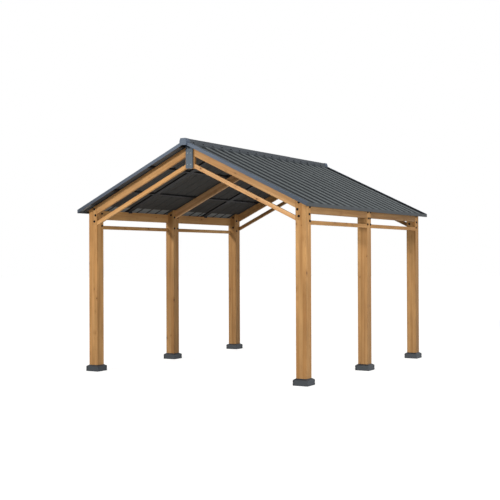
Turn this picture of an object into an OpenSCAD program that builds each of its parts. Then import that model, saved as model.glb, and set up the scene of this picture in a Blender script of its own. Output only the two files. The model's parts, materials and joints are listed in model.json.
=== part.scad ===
// Gable carport: six timber posts, bolted ladder frames, steel purlins and a
// ribbed steel roof.  Millimetres, +Z up.  The origin is on the ground at the
// middle of the plan; the open gable with the bracket faces -Y.

/* [Plan] */
// Width over the outer faces of the posts
frame_w = 3317; // [2600:1:4200]
// Depth over the outer faces of the posts
frame_d = 3774; // [3000:1:4800]
// Side of a square post
post_w = 140; // [120:1:170]

/* [Roof] */
// Pitch of both slopes in degrees
pitch = 25.65; // [18:0.05:32]
// Height of the rib tops of the sheet at the eave
eave_z = 2190; // [2060:1:2700]
// How far the roof runs out past the posts at the gables
gable_over = 142; // [90:1:260]
// How far the roof runs out past the posts at the eaves
eave_over = 84; // [60:1:160]
// Spacing of the ribs of the roof sheet
rib_pitch = 228.6; // [180:0.1:280]
// Height of a rib
rib_h = 15; // [10:1:22]
// Width of a rib across its flat top
rib_top = 22; // [16:1:40]
// Width of a rib at its foot
rib_foot = 52; // [48:1:70]
// How far the row of ribs is set forward of the middle of the roof
rib_shift = 70; // [0:1:100]
// Thickness of the roof sheet
sheet_t = 1.5; // [1:0.1:2]
// Distances of the purlins from the middle of the roof, in plan
purlin_x = [92, 585, 1175];

/* [Trim] */
// Thickness of folded trim
trim_t = 2; // [1.5:0.1:3]
// Height of the fascia on a sloping gable edge, square to the slope
rake_h = 40; // [38:1:60]
// Width of the return along the foot of that fascia
rake_return = 10; // [6:1:20]
// Width of the flange of the gable trim on top of the sheet
rake_flange = 42; // [30:1:60]
// Height of the eave trim
eave_trim_h = 44; // [30:1:60]
// Width of the flange under the eave trim
eave_flange = 20; // [10:1:40]
// Width of each wing of the ridge cap down the slope
cap_wing = 100; // [80:1:220]
// Width of the raised flat top of the ridge cap
cap_flat = 66; // [40:1:90]
// Rise of the flat top over the apex of the rib tops
cap_rise = 25; // [10:1:40]
// Where the two lengths of the ridge cap meet, behind the middle of the roof
cap_joint = 777; // [400:1:1200]
// Width of a ridge end cap
end_cap_w = 100; // [90:1:140]
// How far a ridge end cap stands out past the gable trims
end_cap_d = 24; // [8:1:30]
// How far a ridge end cap hangs below the apex of the rib tops
end_cap_drop = 59; // [50:1:80]

/* [Timber] */
// Thickness of the boards
board_t = 40; // [34:1:46]
// Width of an upright end board
end_board_w = 70; // [60:1:70]
// Depth of a timber rafter, square to its length
rafter_h = 108; // [100:1:130]
// Depth of the lower chord of a gable frame, square to its length
chord_h = 51; // [40:1:70]
// Clear height from the ground to the foot of a gable end board
gable_board_z = 1985; // [1700:1:2050]
// Height from the ground to the foot of a side end board and rail
side_board_z = 1935; // [1700:1:1990]
// Depth of a side header
header_h = 123; // [110:1:150]
// Depth of the lower rail of a side frame
rail_h = 50; // [40:1:70]
// How far a middle rafter is let into the head of its post
tenon = 80; // [60:1:90]
// Width of the eased edges along the timbers
ease = 3; // [1:0.5:5]

/* [Steel] */
// Width of the front and back ridge brackets
bracket_w = 104; // [80:1:106]
// How far a ridge bracket stands off the boards
bracket_d = 20; // [12:1:30]
// Radius of its two lower corners
bracket_r = 12; // [6:1:20]
// Depth of the hat-shaped purlins and stiffeners
hat_h = 20; // [16:1:30]
// Width of the face of a hat
hat_w = 30; // [24:1:50]
// Brim of a hat on each side
hat_brim = 14; // [10:1:20]
// Wall of the steel sections
steel_t = 2; // [1.5:0.1:4]
// Width of the steel rafters, which lie between the purlins
steel_rafter_w = 106; // [60:1:140]
// Places of the steel rafters of each slope along Y
steel_rafter_y = [-1013, 983];

/* [Post covers] */
// Outer side of a post cover
cover_w = 198; // [180:1:230]
// Height of a post cover
cover_h = 86; // [50:1:110]
// Rise of the sloping top of a cover
cover_slope = 17; // [8:1:20]
// Wall of a post cover
cover_t = 3; // [2:0.5:5]
// Width of the flange where the two halves of a cover lap at a corner
cover_lap = 16; // [12:1:24]

/* [Hidden] */

timber = [0.72, 0.53, 0.35];
steel = [0.42, 0.46, 0.50];
dark_steel = [0.20, 0.21, 0.23];

// Plan lines: outer and inner faces of the posts from the middle
out_x = frame_w / 2;
out_y = frame_d / 2;
in_x = out_x - post_w;
in_y = out_y - post_w;
roof_x = out_x + eave_over;
roof_y = out_y + gable_over;

// Roof planes.  Depths below the rib tops are measured square to the slope.
rise = tan(pitch);
apex_z = eave_z + roof_x * rise;
pan_n = -rib_h;
sheet_n = pan_n - sheet_t;
purlin_n = sheet_n - hat_h;
rafter_n = purlin_n - rafter_h;
slope_run = roof_x / cos(pitch);
gap = 1;

// Height of the plane at depth n under the rib tops, above plan distance x
function plane_z(x, n) = apex_z - x * rise + n / cos(pitch);

// Which way a name points along X and Y
module on_side(side) {
    if (side < 0) mirror([1, 0, 0]) children();
    else children();
}

module at_end(end) {
    if (end < 0) children();
    else mirror([0, 1, 0]) children();
}

// A rectangle with its four corners eased, for the section of a timber
function eased(x0, x1, y0, y1) =
    [[x0 + ease, y0], [x1 - ease, y0], [x1, y0 + ease], [x1, y1 - ease],
     [x1 - ease, y1], [x0 + ease, y1], [x0, y1 - ease], [x0, y0 + ease]];

// An upright timber on a plan rectangle
module upright(x0, x1, y0, y1, z0, z1) {
    translate([0, 0, z0]) linear_extrude(height = z1 - z0) polygon(eased(x0, x1, y0, y1));
}

// A slab cut from a polygon drawn in the gable plane, t thick, from y on back
module gable_slab(points, y, t) {
    translate([0, y + t, 0]) rotate([90, 0, 0]) linear_extrude(height = t) polygon(points);
}

// Everything above the plane at depth n under the rib tops, over one slope
module above_plane(n, x0, x1) {
    gable_slab([[x0, plane_z(x0, n)], [x1, plane_z(x1, n)], [x1, 2 * apex_z], [x0, 2 * apex_z]],
               -roof_y, 2 * roof_y);
}

// Local X runs down the slope from the apex of the rib tops, local Z is square to it
module down_slope() {
    translate([0, 0, apex_z]) rotate([0, pitch, 0]) children();
}

// A section drawn as (y, n), run down the slope and plumb cut at plan distances x0 and x1
module along_slope(x0, x1) {
    intersection() {
        down_slope() rotate([90, 0, 90]) linear_extrude(height = slope_run) children();
        translate([x0, -roof_y, 0]) cube([x1 - x0, 2 * roof_y, 2 * apex_z]);
    }
}

// ---- Posts ------------------------------------------------------------------

// A corner post of the front right: let in for the gable and side end boards
module corner_post() {
    color(timber) difference() {
        upright(in_x, out_x, -out_y, -in_y, 0, plane_z(in_x, purlin_n));
        above_plane(purlin_n, in_x - gap, out_x + gap);
        translate([in_x - gap, -out_y - gap, gable_board_z])
            cube([end_board_w + gap, board_t + gap, apex_z]);
        translate([out_x - board_t, -in_y - end_board_w, side_board_z])
            cube([board_t + gap, end_board_w + gap, apex_z]);
    }
}

// A middle post of the right side: let in for two side boards and the rafter
module middle_post() {
    color(timber) difference() {
        upright(in_x, out_x, -post_w / 2, post_w / 2, 0, plane_z(in_x, purlin_n));
        above_plane(purlin_n, in_x - gap, out_x + gap);
        translate([out_x - board_t, -post_w / 2 - gap, side_board_z])
            cube([board_t + gap, post_w + 2 * gap, apex_z]);
        gable_slab([[in_x - gap, plane_z(in_x - gap, rafter_n)],
                    [in_x + tenon, plane_z(in_x + tenon, rafter_n)],
                    [in_x + tenon, apex_z], [in_x - gap, apex_z]],
                   -board_t / 2, board_t);
    }
}

module post_front_left() { on_side(-1) corner_post(); }
module post_front_right() { corner_post(); }
module post_middle_left() { on_side(-1) middle_post(); }
module post_middle_right() { middle_post(); }
module post_back_left() { on_side(-1) at_end(1) corner_post(); }
module post_back_right() { at_end(1) corner_post(); }

// A folded cover round the foot of a post, open underneath
module base_cover(x, y) {
    color(dark_steel) translate([x, y, 0]) difference() {
        union() {
            translate([-cover_w / 2, -cover_w / 2, 0]) cube([cover_w, cover_w, cover_h - cover_slope]);
            cover_hip(cover_w / 2, post_w / 2, cover_h - cover_slope, cover_slope);
        }
        translate([-cover_w / 2 + cover_t, -cover_w / 2 + cover_t, -gap])
            cube([cover_w - 2 * cover_t, cover_w - 2 * cover_t, cover_h - cover_slope - cover_t + gap]);
        translate([-post_w / 2, -post_w / 2, -gap]) cube([post_w, post_w, cover_h + 2 * gap]);
        for (turn = [0, 180]) rotate([0, 0, turn]) {
            cover_joint();
            mirror([1, -1, 0]) cover_joint();
        }
    }
}

// The shallow step beside a lap flange, in the -Y face next to the -X corner
module cover_joint() {
    translate([cover_lap - cover_w / 2, -cover_w / 2 - gap, -gap])
        cube([cover_t, gap + cover_t / 2, cover_h - cover_slope + gap]);
}

// A low hipped frustum on a square foot, made by cutting a block on four sides
module cover_hip(a, b, z, h) {
    difference() {
        translate([-a, -a, z]) cube([2 * a, 2 * a, h]);
        for (turn = [0:90:270]) rotate([0, 0, turn])
            translate([0, a + gap, 0]) rotate([90, 0, -90]) translate([0, 0, -a - gap])
                linear_extrude(height = 2 * a + 2 * gap)
                    polygon([[0, z - gap], [gap, z], [a - b + gap, z + h], [a - b + gap, z + h + gap],
                             [-gap, z + h + gap], [-gap, z - gap]]);
    }
}

post_mid = out_x - post_w / 2;
end_mid = out_y - post_w / 2;
module base_cover_front_left() { base_cover(-post_mid, -end_mid); }
module base_cover_front_right() { base_cover(post_mid, -end_mid); }
module base_cover_middle_left() { base_cover(-post_mid, 0); }
module base_cover_middle_right() { base_cover(post_mid, 0); }
module base_cover_back_left() { base_cover(-post_mid, end_mid); }
module base_cover_back_right() { base_cover(post_mid, end_mid); }

// ---- Gable frames -----------------------------------------------------------

ridge_board_x = end_board_w;

// A rafter of a gable frame, plumb cut between the ridge board and end board
module gable_rafter() {
    color(timber) along_slope(ridge_board_x, in_x)
        polygon(eased(-out_y, board_t - out_y, rafter_n, purlin_n));
}

// The lower chord runs parallel to the rafter from the foot of the end board
function chord_z(x) = gable_board_z + (in_x - x) * rise;
chord_n = (chord_z(0) - apex_z) * cos(pitch);
module gable_chord() {
    color(timber) along_slope(ridge_board_x, in_x)
        polygon(eased(-out_y, board_t - out_y, chord_n, chord_n + chord_h));
}

// The two uprights at the posts and the two that meet under the ridge
module gable_end_boards() {
    color(timber) for (side = [-1, 1]) on_side(side) difference() {
        union() {
            upright(in_x, in_x + end_board_w, -out_y, board_t - out_y, gable_board_z, apex_z);
            upright(gap / 2, ridge_board_x, -out_y, board_t - out_y, chord_z(ridge_board_x), apex_z);
        }
        above_plane(purlin_n, 0, roof_x);
    }
}

module front_rafter_left() { on_side(-1) gable_rafter(); }
module front_rafter_right() { gable_rafter(); }
module front_chord_left() { on_side(-1) gable_chord(); }
module front_chord_right() { gable_chord(); }
module back_rafter_left() { at_end(1) on_side(-1) gable_rafter(); }
module back_rafter_right() { at_end(1) gable_rafter(); }
module back_chord_left() { at_end(1) on_side(-1) gable_chord(); }
module back_chord_right() { at_end(1) gable_chord(); }
module front_end_boards() { gable_end_boards(); }
module back_end_boards() { at_end(1) gable_end_boards(); }

// A middle rafter has no chord; its foot is let into the head of the post
module middle_rafter() {
    color(timber) along_slope(gap / 2, in_x + tenon)
        polygon(eased(-board_t / 2, board_t / 2, rafter_n, purlin_n));
}
module middle_rafter_left() { on_side(-1) middle_rafter(); }
module middle_rafter_right() { middle_rafter(); }

// ---- Side frames ------------------------------------------------------------

header_top = plane_z(out_x, purlin_n);
header_z = header_top - header_h;

// Uprights of both side frames of the right side
module side_end_boards() {
    color(timber) for (end = [-1, 1]) at_end(end) {
        upright(out_x - board_t, out_x, -in_y - end_board_w, -in_y, side_board_z, header_top);
        upright(out_x - board_t, out_x, -post_w / 2, -gap / 2, side_board_z, header_top);
    }
}

module side_bar(z, h) {
    color(timber) translate([0, -post_w / 2, 0]) rotate([90, 0, 0])
        linear_extrude(height = in_y - post_w / 2) polygon(eased(out_x - board_t, out_x, z, z + h));
}

module side_rails() {
    for (end = [-1, 1]) at_end(end) side_bar(side_board_z, rail_h);
}

module left_end_boards() { on_side(-1) side_end_boards(); }
module right_end_boards() { side_end_boards(); }
module header_front_left() { on_side(-1) side_bar(header_z, header_h); }
module header_front_right() { side_bar(header_z, header_h); }
module header_back_left() { on_side(-1) at_end(1) side_bar(header_z, header_h); }
module header_back_right() { at_end(1) side_bar(header_z, header_h); }
module rails_left() { on_side(-1) side_rails(); }
module rails_right() { side_rails(); }

// ---- Ridge brackets ---------------------------------------------------------

bracket_z = chord_z(ridge_board_x);
plate_w = 190;
plate_h = 90;
plate_drop = 10;

// The right half of a bracket's outline, drawn in by the given amount, from the top down
function bracket_half(inset) =
    let (half = bracket_w / 2 - inset, foot = bracket_z + inset, r = bracket_r - inset)
    concat([[0, plane_z(0, sheet_n) - gap - inset], [half, plane_z(half, sheet_n) - gap - inset]],
           [for (a = [0:-30:-90]) [half - r + r * cos(a), foot + r + r * sin(a)]]);

// A pressed steel tray screwed over the two ridge boards
module gable_bracket() {
    color(steel) difference() {
        gable_slab(both_sides(bracket_half(0)), -out_y - bracket_d, bracket_d);
        gable_slab(both_sides(bracket_half(trim_t)), -out_y - bracket_d + trim_t, bracket_d);
    }
}

// Two plates bolted through the meeting rafters at the middle of the ridge
module middle_bracket() {
    color(steel) for (end = [-1, 1]) at_end(end)
        translate([-plate_w / 2, -board_t / 2 - steel_t, plane_z(0, rafter_n) - plate_drop])
            cube([plate_w, steel_t, plate_h]);
}

module ridge_bracket_front() { gable_bracket(); }
module ridge_bracket_middle() { middle_bracket(); }
module ridge_bracket_back() { at_end(1) gable_bracket(); }

// ---- Roof steel -------------------------------------------------------------

// Outline of a hat section hanging from a surface at height 0, brims on top
module hat_outline() {
    half = hat_w / 2;
    polygon([[-half - hat_brim, 0], [half + hat_brim, 0], [half + hat_brim, -steel_t],
             [half + steel_t, -steel_t], [half, -hat_h], [-half, -hat_h],
             [-half - steel_t, -steel_t], [-half - hat_brim, -steel_t]]);
}

// Outline of a steel rafter, a shallow trough centred on y, open to the sheet
module trough_outline(y) {
    half = steel_rafter_w / 2;
    foot = purlin_n + steel_t;
    difference() {
        translate([y - half, foot]) square([2 * half, sheet_n - foot]);
        translate([y - half + steel_t, foot + steel_t]) square([2 * (half - steel_t), hat_h]);
    }
}

// The steel rafters of one slope, cut in between the purlins and over the header
module steel_rafters() {
    color(dark_steel) difference() {
        along_slope(gap / 2, roof_x - eave_flange)
            for (y = steel_rafter_y) trough_outline(y);
        purlin_space();
    }
}

// A flat strap under each steel rafter, flush with the feet of the purlins
module joint_strap() {
    half = steel_rafter_w / 2;
    color(steel) difference() {
        along_slope(gap / 2, out_x - board_t)
            for (y = steel_rafter_y) translate([y - half, purlin_n]) square([2 * half, steel_t]);
        purlin_space();
    }
}

// The room the purlins of one slope take up: under their brims and between their sides
module purlin_space() {
    side = hat_w / 2 + steel_t;
    brim = hat_w / 2 + hat_brim;
    down_slope() for (x = purlin_x) translate([x / cos(pitch), -roof_y, sheet_n]) {
        translate([-side, 0, -hat_h - gap]) cube([2 * side, 2 * roof_y, hat_h + 2 * gap]);
        translate([-brim, 0, -steel_t]) cube([2 * brim, 2 * roof_y, steel_t + gap]);
    }
}

// Purlins of one slope, over the rafters from gable trim to gable trim
purlin_y = roof_y - rake_return - gap;
module purlins() {
    color(dark_steel) down_slope() for (x = purlin_x)
        translate([x / cos(pitch), purlin_y, sheet_n]) rotate([90, 0, 0])
            linear_extrude(height = 2 * purlin_y) hat_outline();
}

module steel_rafters_left() { on_side(-1) steel_rafters(); }
module steel_rafters_right() { steel_rafters(); }
module joint_strap_left() { on_side(-1) joint_strap(); }
module joint_strap_right() { joint_strap(); }
module purlins_left() { on_side(-1) purlins(); }
module purlins_right() { purlins(); }

// ---- Roof sheets ------------------------------------------------------------

sheet_y = roof_y - trim_t;
sheet_start = 24;
ribs_each_way = floor((sheet_y - rake_flange - rib_shift - rib_foot / 2) / rib_pitch);

rib_y = [for (k = [-ribs_each_way:ribs_each_way]) k * rib_pitch - rib_shift];

// The outline of one rib over the pans, as points along y, with room left on each side
function rib(y, room) = [[y - rib_foot / 2 - room, 0], [y - rib_top / 2 - room, rib_h],
                         [y + rib_top / 2 + room, rib_h], [y + rib_foot / 2 + room, 0]];
sheet_line = concat([[-sheet_y, 0]], [for (y = rib_y) each rib(y, 0)], [[sheet_y, 0]]);
last = len(sheet_line) - 1;
sheet_outline = concat(sheet_line, [for (i = [last:-1:0]) [sheet_line[i][0], sheet_line[i][1] - sheet_t]]);

// The ribbed sheet of one slope; the ribs run from the ridge to the eave
module roof_sheet() {
    color(steel) difference() {
        down_slope() translate([sheet_start, 0, pan_n]) rotate([90, 0, 90])
            linear_extrude(height = slope_run) polygon(sheet_outline);
        translate([roof_x - trim_t, -roof_y, 0]) cube([roof_x, 2 * roof_y, apex_z]);
    }
}
module roof_sheet_left() { on_side(-1) roof_sheet(); }
module roof_sheet_right() { roof_sheet(); }

// ---- Trim -------------------------------------------------------------------

cap_y = roof_y - rake_flange - trim_t;
cap_foot = end_cap_w / 2;
cap_hem = 8;
cap_lap = 60;
closure_t = 3;
rake_hem = 8;
cap_top = apex_z + cap_rise;
wing = cap_wing * cos(pitch);
shoulder_z = apex_z - 8;
end_cap_lap = 20;

// A point at plan distance x, n above the rib tops square to the slope
function over(x, n) = [x, plane_z(x, n)];

// The outline of a section drawn for the right side, closed by its mirror image
function both_sides(right) =
    concat(right, [for (i = [len(right) - 1:-1:0]) [-right[i][0], right[i][1]]]);

// One length of ridge cap: a raised flat, two cheeks and two hemmed wings
module cap_length(y0, y1, lift) {
    outer = [[cap_flat / 2, cap_top + lift], over(cap_foot, trim_t + lift),
             over(wing - cap_hem, trim_t + lift), over(wing - cap_hem, 2 * trim_t + lift),
             over(wing, 2 * trim_t + lift), over(wing, lift)];
    inner = [over(cap_foot - trim_t, lift), [cap_flat / 2 - trim_t / 2, cap_top + lift - trim_t]];
    gable_slab(both_sides(concat(outer, inner)), y0, y1 - y0);
}

// A strip under the hem of the right wing that closes the pans between the ribs
module cap_closure() {
    down_slope() translate([cap_wing - cap_hem + gap, 0, pan_n]) rotate([90, 0, 90]) difference() {
        translate([gap - cap_y, gap]) linear_extrude(height = closure_t)
            square([2 * (cap_y - gap), rib_h + trim_t]);
        translate([0, 0, -gap]) linear_extrude(height = closure_t + 2 * gap)
            for (y = rib_y) polygon(rib(y, gap));
    }
}

// The front length of the ridge cap laps over the back one
module ridge_cap() {
    color(steel) {
        cap_length(-cap_y, cap_joint, trim_t);
        cap_length(cap_joint - cap_lap, cap_y, 0);
        for (side = [-1, 1]) on_side(side) cap_closure();
    }
}

// A hollow end piece over the ridge cap and the tops of the two gable trims
module ridge_end_cap() {
    y0 = -roof_y - end_cap_d;
    length = end_cap_d + rake_flange + trim_t + end_cap_lap;
    half = end_cap_w / 2;
    foot_z = apex_z - end_cap_drop;
    color(steel) difference() {
        gable_slab(both_sides([[cap_flat / 2 + trim_t, cap_top + 2 * trim_t], [half, shoulder_z],
                               [half, foot_z]]), y0, length);
        gable_slab(both_sides([[cap_flat / 2 + trim_t / 2, cap_top + trim_t],
                               [half - trim_t, shoulder_z - trim_t],
                               [half - trim_t, foot_z + trim_t]]), y0 + trim_t, length);
        gable_slab(both_sides([[0, plane_z(0, 2 * trim_t)], over(2 * half, 2 * trim_t),
                               [2 * half, foot_z - gap]]), -roof_y, length);
    }
}
module ridge_end_caps() { for (end = [-1, 1]) at_end(end) ridge_end_cap(); }

// Section of a gable trim: hemmed flange on the sheet, fascia and a return at its foot
module rake_outline() {
    edge = rake_flange + trim_t;
    foot = trim_t - rake_h;
    polygon([[0, trim_t], [edge - rake_hem, trim_t], [edge - rake_hem, 2 * trim_t], [edge, 2 * trim_t],
             [edge, 0], [trim_t, 0], [trim_t, foot + trim_t], [rake_return, foot + trim_t],
             [rake_return, foot], [0, foot]]);
}

module rake_trims() {
    color(steel) for (side = [-1, 1]) on_side(side) difference() {
        down_slope() translate([-rake_h, -roof_y, 0]) rotate([90, 0, 90])
            linear_extrude(height = rake_h + slope_run + rake_h) rake_outline();
        translate([-roof_x, -roof_y - gap, 0]) cube([roof_x, 2 * rake_flange, 2 * apex_z]);
        translate([roof_x, -roof_y - gap, 0]) cube([roof_x, 2 * rake_flange, 2 * apex_z]);
    }
}
module rake_trims_front() { rake_trims(); }
module rake_trims_back() { at_end(1) rake_trims(); }

// The eave trims close the ends of the ribs in two lengths on each side
module eave_trims() {
    top = plane_z(roof_x, 0);
    joint = steel_rafter_y[0] - steel_rafter_w / 2;
    lengths = [[-sheet_y, joint - trim_t], [joint, sheet_y]];
    color(steel) for (side = [-1, 1]) on_side(side) for (l = lengths) {
        translate([roof_x - trim_t, l[0], top - eave_trim_h])
            cube([trim_t, l[1] - l[0], eave_trim_h]);
        translate([roof_x - eave_flange, l[0], top - eave_trim_h])
            cube([eave_flange - trim_t / 2, l[1] - l[0], trim_t]);
    }
}

post_front_left();
post_front_right();
post_middle_left();
post_middle_right();
post_back_left();
post_back_right();
base_cover_front_left();
base_cover_front_right();
base_cover_middle_left();
base_cover_middle_right();
base_cover_back_left();
base_cover_back_right();
front_rafter_left();
front_rafter_right();
front_chord_left();
front_chord_right();
back_rafter_left();
back_rafter_right();
back_chord_left();
back_chord_right();
middle_rafter_left();
middle_rafter_right();
front_end_boards();
back_end_boards();
left_end_boards();
right_end_boards();
header_front_left();
header_front_right();
header_back_left();
header_back_right();
rails_left();
rails_right();
ridge_bracket_front();
ridge_bracket_middle();
ridge_bracket_back();
steel_rafters_left();
steel_rafters_right();
joint_strap_left();
joint_strap_right();
purlins_left();
purlins_right();
roof_sheet_left();
roof_sheet_right();
ridge_cap();
ridge_end_caps();
rake_trims_front();
rake_trims_back();
eave_trims();
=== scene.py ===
"""Open gable carport: finish of its timber and steel, its bolts and screws, and a studio stage."""
import json
import math
from collections import namedtuple
from itertools import product

import bmesh
import bpy
from bpy.props import FloatProperty, FloatVectorProperty, IntProperty, PointerProperty
from mathutils import Matrix, Vector


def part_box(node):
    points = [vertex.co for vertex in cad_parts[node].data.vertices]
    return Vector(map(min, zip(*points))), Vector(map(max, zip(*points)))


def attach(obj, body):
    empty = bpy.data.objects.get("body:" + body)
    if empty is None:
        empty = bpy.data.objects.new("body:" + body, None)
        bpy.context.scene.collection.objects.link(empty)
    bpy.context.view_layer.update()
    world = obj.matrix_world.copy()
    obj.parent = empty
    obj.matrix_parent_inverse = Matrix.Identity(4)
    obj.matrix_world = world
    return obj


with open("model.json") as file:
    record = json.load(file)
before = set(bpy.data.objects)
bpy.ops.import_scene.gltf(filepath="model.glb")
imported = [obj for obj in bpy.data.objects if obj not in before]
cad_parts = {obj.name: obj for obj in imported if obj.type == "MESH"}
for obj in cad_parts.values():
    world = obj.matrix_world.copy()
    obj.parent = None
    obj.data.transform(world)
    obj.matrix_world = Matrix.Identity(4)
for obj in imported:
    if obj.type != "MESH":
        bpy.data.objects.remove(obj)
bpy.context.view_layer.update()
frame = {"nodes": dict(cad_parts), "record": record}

bl_info = {
    "name": "Timber carport finish",
    "version": (1, 0, 0),
    "blender": (4, 5, 0),
    "location": "3D View > Sidebar > Carport",
    "description": "Finishes an open gable carport: stained timber, coated steel, bolts, screws "
                   "and a stage",
    "category": "Add Mesh",
}

NODES = frame["nodes"]
SIDES = ((-1, "left"), (1, "right"))
ENDS = ((-1, "front"), (1, "back"))


def corners(node):
    """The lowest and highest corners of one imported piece, as vectors."""
    low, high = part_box(node)
    return Vector(low), Vector(high)


# Lines and levels that the fastenings are set out from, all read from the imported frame
POST_LOW, POST_HIGH = corners("post_front_right")
POST_W = POST_HIGH.x - POST_LOW.x
OUT_X = POST_HIGH.x
OUT_Y = -POST_LOW.y
IN_X = POST_LOW.x
IN_Y = OUT_Y - POST_W
RAIL_LOW, RAIL_HIGH = corners("rails_right")
HEADER_IN = OUT_X - (RAIL_HIGH.x - RAIL_LOW.x)
GABLE_BOARD_Z = corners("front_end_boards")[0].z
SIDE_BOARD_Z = corners("right_end_boards")[0].z
EAVE_X = corners("eave_trims")[1].x
EAVE_Z = corners("eave_trims")[1].z
ROOF_Y = corners("rake_trims_back")[1].y

# Distances on the roof steel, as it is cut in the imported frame
RIB_H = 0.015                  # height of the ribs above the pans
PURLIN_FOOT = -0.0365          # underside of the purlins, square to the plane of the rib tops
SCREW_LINES = (0.585, 1.175)   # from the ridge across to the purlins that take the sheets' screws
CAP_SHEET = 0.002              # thickness of the ridge cap's steel
CAP_SCREW_RUN = 0.069          # from the apex down the slope to the cap's screws
STRAP_W = 0.106                # width of the straps above the steel rafters
CLOSE = 0.0004                 # how near a corner lies to a plane to count as on it

# Bolts through the frames, each as (in from the edge, up from the foot of the end boards,
# whether it comes out on the inside)
GABLE_BOLTS = ((0.046, 0.216, True), (0.027, 0.133, False), (0.046, 0.050, True))
SIDE_BOLTS = ((0.033, 0.209, True), (0.048, 0.125, False), (0.033, 0.043, True))
MIDDLE_BOLTS = ((0.026, 0.211, True), (0.040, 0.128, False), (0.024, 0.046, True))
RAFTER_BOLT = (0.044, 0.198)   # the bolt of a middle rafter: in from the post's inside, and up
RAFTER_BOLT_ROLL = 0.3

# Screws and bolts of the brackets and covers
BRACKET_SCREW_X = (-0.024, 0.024)
BRACKET_SCREW_RISE = (0.050, 0.198, 0.262)
PLATE_BOLT_X = (-0.070, -0.025, 0.025, 0.070)
PLATE_BOLT_RISE = 0.032
PLATE_BOLT_ROLL = 0.5
COVER_SCREW_IN = 0.008
COVER_SCREW_RISE = (0.018, 0.050)

# Foam seals under the gable trims
SEAL_TOP = 0.060               # from the apex down the slope to the head of a seal
SEAL_SHORT = 0.003             # how far it stops short of the eave
SEAL_IN = 0.0375               # from the end of the roof to the middle of its width
SEAL_W = 0.009
SEAL_GAP = 0.0003              # clearance under the trim and over the pan
SEAL_EASE = 0.0012

# Folded plates that fix the feet of the steel rafters to the headers
CLIP_W = 0.085
CLIP_H = 0.034
CLIP_LEG = 0.030
CLIP_T = 0.0025
CLIP_EASE = 0.0006

# Stage
WHITE = (1, 1, 1, 1)
FLOOR_RADIUS = 60.0
FLOOR_GREY = (0.62, 0.62, 0.62, 1)
FLOOR_GLOW = 0.84              # what the floor's own light adds for the rays that see it
SKY_FADE = (0.15, 0.66)        # heights on a unit sphere between which the sky fades
SUN_WAY = (0.20, 1.0, -0.22)
SUN_ANGLE = math.radians(4.5)
SUN_COLOUR = (1.0, 0.94, 0.83)
PANEL_PLACE = (9.5, -3.0, 1.3)
PANEL_WAY = (-1.0, 0.25, 0.0)
PANEL_SIZE = (9.0, 2.2)
SENSOR_W = 36.0
FAR_CLIP = 200.0
CAMERA_PLACE = (7.0275, -12.3986, 1.5575)
CAMERA_YAW, CAMERA_TILT, CAMERA_LEAN = (math.radians(a) for a in (30.299, 0.351, -0.205))


def roof_pitch():
    """The pitch of the right slope, from the widest faces on top of its sheet."""
    mesh = NODES["roof_sheet_right"].data
    pans = [f for f in mesh.polygons if f.normal.z > 0.5 and abs(f.normal.y) < 0.01]
    widest = max(pans, key=lambda f: f.area)
    return math.atan2(widest.normal.x, widest.normal.z)


PITCH = roof_pitch()
APEX_Z = EAVE_Z + EAVE_X * math.tan(PITCH)
SLOPE = {side: Vector((side * math.cos(PITCH), 0, -math.sin(PITCH))) for side in (-1, 1)}
SQUARE = {side: Vector((side * math.sin(PITCH), 0, math.cos(PITCH))) for side in (-1, 1)}


def on_slope(side, run, y, lift=0.0):
    """A point a distance down one slope from the apex of the rib tops, lifted square to it."""
    return Vector((0, y, APEX_Z)) + SLOPE[side] * run + SQUARE[side] * lift


def rib_lines():
    """The middles of the ribs along Y, from the corners that lie on the plane of the rib tops."""
    mesh = NODES["roof_sheet_right"].data
    tops = sorted({round(v.co.y, 4) for v in mesh.vertices
                   if abs((v.co - Vector((0, 0, APEX_Z))).dot(SQUARE[1])) < CLOSE})
    return [(a + b) / 2 for a, b in zip(tops[::2], tops[1::2])]


RIBS = rib_lines()


# ---- What a user may change ----


class CarportTimber(bpy.types.PropertyGroup):
    """Colours and figure of the stained timber."""

    base: FloatVectorProperty(
        name="Stain", description="Main colour of the stained wood", subtype="COLOR",
        size=3, min=0, max=1, default=(0.535, 0.283, 0.098))
    streak: FloatVectorProperty(
        name="Streak", description="Colour of the darker grain", subtype="COLOR",
        size=3, min=0, max=1, default=(0.345, 0.158, 0.046))
    pale: FloatVectorProperty(
        name="Pale grain", description="Colour of the palest grain", subtype="COLOR",
        size=3, min=0, max=1, default=(0.655, 0.390, 0.168))
    knot: FloatVectorProperty(
        name="Knot", description="Colour at the heart of a knot", subtype="COLOR",
        size=3, min=0, max=1, default=(0.085, 0.032, 0.012))
    ring: FloatProperty(
        name="Ring spacing", description="Usual distance between growth rings",
        subtype="DISTANCE", min=0.001, max=0.02, default=0.0055)
    roughness: FloatProperty(
        name="Roughness", description="How matt the stain is", min=0.2, max=1, default=0.62)
    # Painted shade: the foot tone darkens each post toward its foot
    foot: FloatProperty(
        name="Foot tone", description="Tone left at the weathered foot of a post",
        min=0.3, max=1, default=0.78)


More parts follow.
